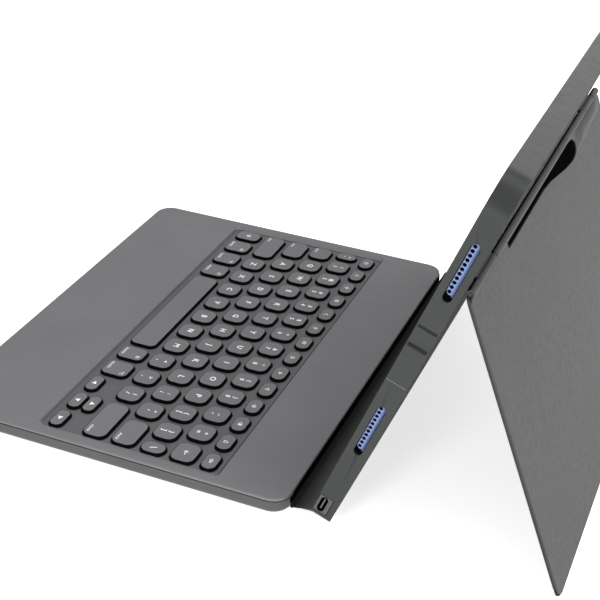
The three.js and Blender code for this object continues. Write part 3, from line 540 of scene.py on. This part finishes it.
FUNCTION_STROKES = {
    "o": [[(-0.8, -0.6), (-0.8, 0.6), (0.8, 0.6), (0.8, -0.6), (-0.8, -0.6)]],
    "x": [[(0, 0.9), (0, 0.5)], [(0, -0.9), (0, -0.5)], [(-0.9, 0), (-0.5, 0)], [(0.9, 0), (0.5, 0)],
          [(-0.3, -0.3), (0.3, -0.3), (0.3, 0.3), (-0.3, 0.3), (-0.3, -0.3)]],
    "s": [[(0, 1), (0, 0.4)], [(0, -1), (0, -0.4)], [(-1, 0), (-0.4, 0)], [(1, 0), (0.4, 0)]],
    "h": [[(-0.8, 0.6), (0.8, 0.6)], [(-0.8, 0), (0.8, 0)], [(-0.8, -0.6), (0.8, -0.6)]],
    "r": [[(0.3, 0.7), (-0.5, 0.1), (0.3, -0.6)], [(0.3, -0.6), (0.9, -0.9)]],
    "m": [[(-0.9, 0), (0.9, 0)], [(0, 0.9), (0, -0.9)]],
    "b": [[(-0.8, -0.5), (0.8, -0.5), (0.8, 0.7), (-0.8, 0.7), (-0.8, -0.5)], [(-0.3, 0.1), (0.3, 0.1)]],
    "c": [[(-0.7, 0.7), (0, 0), (-0.7, -0.7)], [(0.1, 0.7), (0.8, 0), (0.1, -0.7)]],
    "p": [[(-0.5, 0.7), (0.6, 0), (-0.5, -0.7), (-0.5, 0.7)]],
    "u": [[(-0.9, 0.3), (-0.3, 0.3), (0.3, 0.8), (0.3, -0.8), (-0.3, -0.3), (-0.9, -0.3), (-0.9, 0.3)]],
    "v": [[(-0.9, 0.3), (-0.3, 0.3), (0.3, 0.8), (0.3, -0.8), (-0.3, -0.3), (-0.9, -0.3), (-0.9, 0.3)],
          [(0.7, 0.3), (0.7, -0.3)]],
    "w": [[(-0.9, 0.3), (-0.3, 0.3), (0.3, 0.8), (0.3, -0.8), (-0.3, -0.3), (-0.9, -0.3), (-0.9, 0.3)],
          [(0.6, 0.3), (0.6, -0.3)], [(0.95, 0.6), (0.95, -0.6)]],
    "d": [[(-0.6, -0.8), (-0.6, 0.1), (0.6, 0.1), (0.6, -0.8), (-0.6, -0.8)],
          [(-0.3, 0.1), (-0.3, 0.8), (0.3, 0.8), (0.3, 0.1)]],
    "t": [[(-0.9, -0.4), (-0.9, 0.4), (0.7, 0.4), (0.7, -0.4), (-0.9, -0.4)], [(1, 0.15), (1, -0.15)]],
}
WORD_PITCH = 1.15
WORD_INSET = 2.4
WORD_HEIGHT = 2.6
LEGEND_LOW = KEY_TOP - 0.14
LEGEND_HIGH = KEY_TOP - 0.005


def add_stroke(shape, points, centre, size, width):
    """A thin printed line through the given points."""
    for start, end in zip(points, points[1:]):
        a = Vector((centre[0] + start[0] * size, centre[1] + start[1] * size))
        b = Vector((centre[0] + end[0] * size, centre[1] + end[1] * size))
        along = (b - a).normalized() * width / 2
        across = Vector((-along.y, along.x))
        outline = [a - along - across, b + along - across, b + along + across, a - along + across]
        loft(shape, [[(p.x, p.y, height) for p in outline] for height in (LEGEND_LOW, LEGEND_HIGH)])


def add_arrow_head(shape, centre, angle, size):
    """A small solid triangle that points along the angle, in degrees."""
    corners = [math.radians(angle + turn) for turn in (0, 125, 235)]
    outline = [(centre[0] + size * math.cos(turn), centre[1] + size * math.sin(turn)) for turn in corners]
    loft(shape, [[(x, y, height) for x, y in outline] for height in (LEGEND_LOW, LEGEND_HIGH)])


def add_letter(shape, letter, centre, height):
    """One printed character in a plain typeface."""
    curve = bpy.data.curves.new("letter", "FONT")
    curve.body = letter
    curve.size = height * 1.55 * MM
    curve.align_x = "CENTER"
    curve.align_y = "CENTER"
    curve.offset = 0.09 * MM
    curve.extrude = (LEGEND_HIGH - LEGEND_LOW) / 2 * MM
    curve.resolution_u = 3
    holder = bpy.data.objects.new("letter", curve)
    bpy.context.collection.objects.link(holder)
    bpy.context.view_layer.update()
    mesh = bpy.data.meshes.new_from_object(holder.evaluated_get(bpy.context.evaluated_depsgraph_get()))
    bpy.data.objects.remove(holder)
    middle = (LEGEND_LOW + LEGEND_HIGH) / 2
    mesh.transform(Matrix.Translation(Vector((centre[0], centre[1], middle)) * MM))
    shape.from_mesh(mesh)
    bpy.data.meshes.remove(mesh)


def mark_key(shape, node, letter, edges):
    """The mark printed on one key."""
    left, right, front, back = edges
    middle = ((left + right) / 2, (front + back) / 2)
    size = 1.4
    if node == "function_row_keys":
        for points in FUNCTION_STROKES[letter]:
            add_stroke(shape, points, middle, size, 0.42)
    elif node == "number_row_keys":
        second = "~!@#$%^&*()_+"["`1234567890-=".index(letter)]
        add_letter(shape, letter, (middle[0], middle[1] - 2.1), 2.3)
        add_letter(shape, second, (middle[0], middle[1] + 2.3), 2.1)
    elif letter.isalpha():
        add_letter(shape, letter, middle, 2.9)
    else:
        second = dict(zip(",./;'[]", "<>?:\"{}"))[letter]
        add_letter(shape, letter, (middle[0], middle[1] - 1.9), 2.3)
        add_letter(shape, second, (middle[0], middle[1] + 2.1), 2.1)


def add_word(shape, start, letters):
    """A row of small upright strokes that stands in for a printed word."""
    for index in range(letters):
        place = (start[0] + index * WORD_PITCH, start[1])
        tall = 0.75 if index % 3 == 1 else 0.5
        bar = 0.1 - 0.3 * (index % 2)
        for points in ([(-0.25, -0.5), (-0.25, tall)], [(-0.3, bar), (0.4, bar)]):
            add_stroke(shape, points, place, 1.0, 0.3)


def mark_single_key(shape, node, edges):
    """The mark on a key that is a node of its own."""
    left, right, front, back = edges
    middle = ((left + right) / 2, (front + back) / 2)
    if node in ARROW_HEADS:
        add_arrow_head(shape, middle, ARROW_HEADS[node], 1.6)
    elif node in BOTTOM_ROW_KEYS:
        add_word(shape, (left + WORD_INSET, front + WORD_HEIGHT), 6)
        for points in STROKES[node]:
            add_stroke(shape, points, (right - 3.4, back - 3.4), 1.15, 0.4)
    elif node in LEFT_WORD_KEYS:
        add_word(shape, (left + WORD_INSET, front + WORD_HEIGHT), 4)
    elif node in RIGHT_WORD_KEYS:
        add_word(shape, (right - 7.6, front + WORD_HEIGHT), 5)
    elif node in STROKES:
        for points in STROKES[node]:
            add_stroke(shape, points, middle, 1.6, 0.46)


def add_shadow_ring(shape, edges, corner):
    """A flat black ring on the well floor around one key, the painted shadow of the key's sides."""
    section = [
        (SHADOW_RING_INNER, SHADOW_RING_LOW),
        (SHADOW_RING_INNER, SHADOW_RING_HIGH),
        (SHADOW_RING_OUTER, SHADOW_RING_HIGH),
        (SHADOW_RING_OUTER, SHADOW_RING_LOW),
        (SHADOW_RING_INNER, SHADOW_RING_LOW),
    ]
    rings = [key_ring(edges, spread, corner + spread, height) for spread, height in section]
    loft(shape, rings, closed_ends=False)


def add_keys():
    """Caps and printed marks for every key, each on its own body, and a black ring of painted shadow
    around each.
    """
    shadow_rings = bmesh.new()
    singles = [name for name in nodes if name.endswith("_key") or name == "space_bar"]
    for node in sorted(singles) + sorted(KEY_ROWS):
        caps = bmesh.new()
        marks = bmesh.new()
        if node in KEY_ROWS:
            letters, width, first = KEY_ROWS[node]
            corner = FUNCTION_CORNER if node == "function_row_keys" else KEY_CORNER
            for letter, edges in zip(letters, row_keys(node, len(letters), width, first)):
                add_cap(caps, edges, corner)
                add_shadow_ring(shadow_rings, edges, corner)
                mark_key(marks, node, letter, edges)
        else:
            edges = key_spans(node)
            corner = 3.6 if edges[3] - edges[2] > 14 else KEY_CORNER
            corner = min(corner, (edges[3] - edges[2]) / 2 - 0.2)
            add_cap(caps, edges, corner)
            add_shadow_ring(shadow_rings, edges, corner)
            mark_single_key(marks, node, edges)
        name = node.replace("_keys", "").replace("_key", "")
        new_piece(name + "_caps", caps, node, ["keycaps", "key_side"], [node], 50)
        if marks.faces:
            new_piece(name + "_legends", marks, node, ["legend"])
        else:
            marks.free()
    # Painted shadow: black rings on the well floor around the keys.
    new_piece("key_gaskets", shadow_rings, "keyboard", ["key_side"])


# ---------------------------------------------------------------- spine


def add_spine():
    """The flexible strip, arched between its round beads, each of which turns on a hinge line."""
    low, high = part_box("spine_strip")
    front = joint_place("spine_fold") / MM
    rear = joint_place("tray_tilt") / MM
    path = [
        Vector((front.y - SPINE_BEAD, front.z)),
        Vector((front.y + 1.6, front.z + 0.5)),
        Vector((front.y + 4.2, front.z + 1.05)),
        Vector((front.y + 7.2, (rear.z + front.z) / 2 + 0.55)),
        Vector((rear.y, rear.z)),
        Vector((rear.y + SPINE_BEAD, rear.z)),
    ]
    samples = SPINE_SAMPLES
    points = []
    for sample in range(samples + 1):
        place = sample / samples * (len(path) - 1)
        index = min(int(place), len(path) - 2)
        before, start = path[max(index - 1, 0)], path[index]
        end, after = path[index + 1], path[min(index + 2, len(path) - 1)]
        t = place - index
        points.append(0.5 * (
            2 * start
            + (end - before) * t
            + (2 * before - 5 * start + 4 * end - after) * t ** 2
            + (3 * start - before - 3 * end + after) * t ** 3
        ))
    upper = []
    lower = []
    for index, point in enumerate(points):
        along = (points[min(index + 1, samples)] - points[max(index - 1, 0)]).normalized()
        across = Vector((-along.y, along.x))
        ripple = 0.05 * math.cos(index / samples * 6 * math.pi)
        reach = min((point - Vector((bead.y, bead.z))).length for bead in (front, rear))
        half = max(0.12, math.sqrt(max(0.0, SPINE_BEAD ** 2 - reach ** 2)))
        if 0 < index < samples and front.y < point.x < rear.y:
            half = max(half, 0.5 + ripple)
        upper.append(point + across * half)
        lower.append(point - across * half)
    section = lower + upper[::-1]
    left, right = low.x / MM, high.x / MM
    stations = [left, left + 0.35, left + 0.8, left + 2.2]
    stations += [left + 2.2 + (right - left - 4.4) * step / 12 for step in range(1, 12)]
    stations += [right - 2.2, right - 0.8, right - 0.35, right]
    centre = sum(section, Vector((0, 0))) / len(section)
    rings = []
    for x in stations:
        edge = min(x - left, right - x)
        shrink = 1 - 0.035 * max(0.0, 1 - edge / 0.8) ** 2
        rings.append([(x, *(centre + (point - centre) * shrink)) for point in section])
    shape = bmesh.new()
    loft(shape, rings)
    new_piece("spine_cloth", shape, "spine", ["fabric"], ["spine_strip"], 60)


# ---------------------------------------------------------------- tray details


def side_plate(name, outlines, thickness, bevel, sign, inset, material_name, replaced=()):
    """A plate facing sideways on the tray, its outer face inset below the tray's side."""
    across = Matrix(((0, 0, 1, 0), (1, 0, 0, 0), (0, 1, 0, 0), (0, 0, 0, 1)))
    middle = sign * (TRAY_HALF - inset - thickness / 2) * MM
    mesh = plate_mesh(name, outlines, thickness, bevel)
    mesh.transform(tray_space @ Matrix.Translation((middle, 0, 0)) @ across)
    finish_piece(name, mesh, "tray", [material_name], replaced)


def add_grilles():
    """Perforated strips in the speaker slots, each with a deep blue lip on its rear side and a black plate
    behind it as painted shade.
    """
    front = SPEAKER_DEPTH - SPEAKER_HEIGHT / 2
    rear = SPEAKER_DEPTH + SPEAKER_HEIGHT / 2
    for height, centre in zip(("lower", "upper"), SPEAKER_CENTRES):
        low = centre - SPEAKER_LENGTH / 2
        high = centre + SPEAKER_LENGTH / 2
        surround = rounded_outline(front - 0.8, rear + 0.8, low - 0.8, high + 0.8, SPEAKER_HEIGHT / 2, 8)
        strip = rounded_outline(front + 0.05, rear, low + SPEAKER_BARE_END, high, SPEAKER_HEIGHT / 2, 8)
        holes = []
        for hole in range(SPEAKER_HOLES):
            place = centre + SPEAKER_BARE_END / 2 + (hole - (SPEAKER_HOLES - 1) / 2) * SPEAKER_HOLE_PITCH
            holes.append(ring_of(SPEAKER_HOLE_RADIUS, 20, SPEAKER_DEPTH - SPEAKER_HOLE_SHIFT, place))
        lip = rounded_outline(rear - 0.75, rear + 0.05, low + 3, high - 0.6, 0.35, 3)
        for side, sign in (("right", 1), ("left", -1)):
            node = f"{height}_speaker_grille_{side}"
            side_plate(node + "_strip", [strip, *holes], 0.8, 0.1, sign, 0.75, "grille", [node])
            # Painted shade: a black plate behind the strip stands in for the dark interior seen through
            # the holes.
            side_plate(node + "_shade", [surround], 0.5, 0.05, sign, 1.6, "core")
            side_plate(node + "_lip", [lip], 0.5, 0.1, sign, 0.2, "deep_blue")


def add_side_seams():
    """The hairline across each short side of the tray, and black bands of painted shade at the cable dip's
    slopes.
    """
    line = rounded_outline(SEAM_FRONT, SEAM_REAR, SEAM_HEIGHT - 0.1, SEAM_HEIGHT + 0.1, 0.05, 2)
    for side, sign in (("right", 1), ("left", -1)):
        side_plate(f"side_seam_{side}", [line], 0.2, 0.02, sign, -0.01, "seam")
        # Painted shade: thin black plates at the dip's two slopes stand in for their shading.
        for step, away in (("lower", -DIP_SHADE_REACH), ("upper", DIP_SHADE_REACH)):
            low = CABLE_DIP_CENTRE + away - DIP_SHADE_WIDTH / 2
            high = CABLE_DIP_CENTRE + away + DIP_SHADE_WIDTH / 2
            dip_shade = rounded_outline(SEAM_FRONT + 0.6, SEAM_REAR - 0.2, low, high, 0.3, 2)
            name = f"cable_dip_crease_{step}_{side}"
            side_plate(name, [dip_shade], 0.3, 0.05, sign, 0.2, "back_panel")


def add_well_crease():
    """The shadow line where the deck drops to the key well behind the last row."""
    low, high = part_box("function_row_keys")
    deck_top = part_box("keyboard_deck")[1].z / MM
    line = rounded_outline(low.x / MM - 1, high.x / MM + 1, WELL_BACK - 0.2, WELL_BACK + 0.2, 0.1, 2)
    mesh = plate_mesh("key_well_rear_crease", [line], 0.2, 0.02)
    mesh.transform(Matrix.Translation((0, 0, (deck_top - 0.09) * MM)))
    finish_piece("key_well_rear_crease", mesh, "keyboard", ["key_side"])


def add_sleeve():
    """The low rounded sleeve on the kickstand, past the wide end of its opening."""
    far, mouth = -121.0, -64.5
    top = -2.4
    mouth_bottom, far_bottom = -12.6, -9.4
    stations = 18
    steps = 14
    rings = []
    for station in range(stations + 1):
        share = station / stations
        x = mouth + (far - mouth) * share
        swell = min(1.0, share / 0.2)
        rise = 1.5 * swell * swell * (3 - 2 * swell) * (1 - share ** 6) + 0.05
        bottom = far_bottom + (mouth_bottom - far_bottom) * (1 - share) ** 2
        ring = []
        for step in range(steps + 1):
            along = step / steps
            bulge = math.sin(math.pi * along) ** 0.5
            ring.append((x + 0.8 * bulge * (1 - share), 0.42 + rise * bulge, top + (bottom - top) * along))
        for step in range(steps, -1, -1):
            ring.append((x, 0.3, top + (bottom - top) * step / steps))
        rings.append(ring)
    shape = bmesh.new()
    loft(shape, rings)
    bmesh.ops.transform(shape, matrix=kick_space, verts=shape.verts)
    new_piece("kickstand_sleeve", shape, "kickstand", ["panel"], sharp=55)


def shade_kickstand():
    """Panel and liner: black only as painted shade, behind the opening and in the shadowed gap along the
    tray.
    """
    panel = soften("kickstand_skin", "kickstand_panel", "kickstand", "panel", 0.18)
    panel.data.materials.append(FINISHES["core"])
    liner = soften("kickstand_core", "kickstand_liner", "kickstand", "kick_edge", 0.12)
    liner.data.materials.append(FINISHES["core"])
    to_kick = kick_space.inverted()
    turn = to_kick.to_3x3()
    # Painted shade: faces of the roll that face the tray turn black, as the shadowed gap.
    for face in panel.data.polygons:
        place = to_kick @ face.center / MM
        towards_tray = math.degrees(math.atan2(place.z, place.y))
        if place.yz.length < ROLL_REACH and GAP_SHADE_START < towards_tray < GAP_SHADE_END:
            face.material_index = 1
    # Painted shade: the liner's outer faces, seen only through the opening, turn black.
    for face in liner.data.polygons:
        if (turn @ face.normal).y > 0.9:
            face.material_index = 1


def paint(node, material_name):
    """Gives a CAD node its material."""
    mesh = nodes[node].data
    mesh.materials.clear()
    mesh.materials.append(FINISHES[material_name])


def finish_cad_nodes():
    """Rounds the edges of the visible CAD solids and gives the rest their materials."""
    soften("keyboard_deck", "keyboard_deck_skin", "keyboard", "deck", 0.12)
    tub = soften("keyboard_base_tub", "keyboard_tub_shell", "keyboard", "casing", 0.25)
    tub.data.materials.append(FINISHES["core"])
    # Painted shade: the tub's faces beside the spine turn black, as the shadowed gap under the spine.
    spine_side = joint_place("spine_fold").y - TUB_SHADE * MM
    for face in tub.data.polygons:
        if face.center.y > spine_side:
            face.material_index = 1
    soften("tray_frame", "tray_shell", "tray", "tray", 0.28)
    soften("tray_back_panel", "tray_back_skin", "tray", "back_panel", 0.25)
    soften("charge_port_block", "charge_port_bezel", "tray", "casing", 0.2)
    soften("charge_port_sleeve", "charge_port_ring", "tray", "core", 0.06)
    soften("charge_port_tongue", "charge_port_contact_bar", "tray", "contact", 0.1)
    for node in ("volume_down_button", "volume_up_button", "power_button"):
        soften(node, node + "_cap", node, "tray", 0.3)
    paints = {
        "key_well_plate": "well",
        "key_backing_plate": "steel",
        "key_dome_membrane": "rubber",
        "main_circuit_board": "board",
        "battery_cell_left": "foil",
        "battery_cell_right": "foil",
        "closing_magnet_left": "steel",
        "closing_magnet_right": "steel",
        # The anchor rail is black as painted shade in the gap behind the keyboard's back edge.
        "spine_anchor_rail": "core",
        "front_foot_left": "rubber",
        "front_foot_right": "rubber",
        "rear_foot_left": "rubber",
        "rear_foot_right": "rubber",
        "tablet_liner_plate": "liner",
        "hinge_bracket_left": "panel",
        "hinge_bracket_right": "panel",
        "kickstand_foot_strip": "rubber",
        "hinge_pin_left": "steel",
        "hinge_pin_right": "steel",
    }
    for node, material_name in paints.items():
        paint(node, material_name)


# ---------------------------------------------------------------- assembly

add_camera()
add_lights()
add_floor()
finish_cad_nodes()
add_keys()
add_spine()
add_grilles()
add_side_seams()
add_well_crease()
add_sleeve()
shade_kickstand()
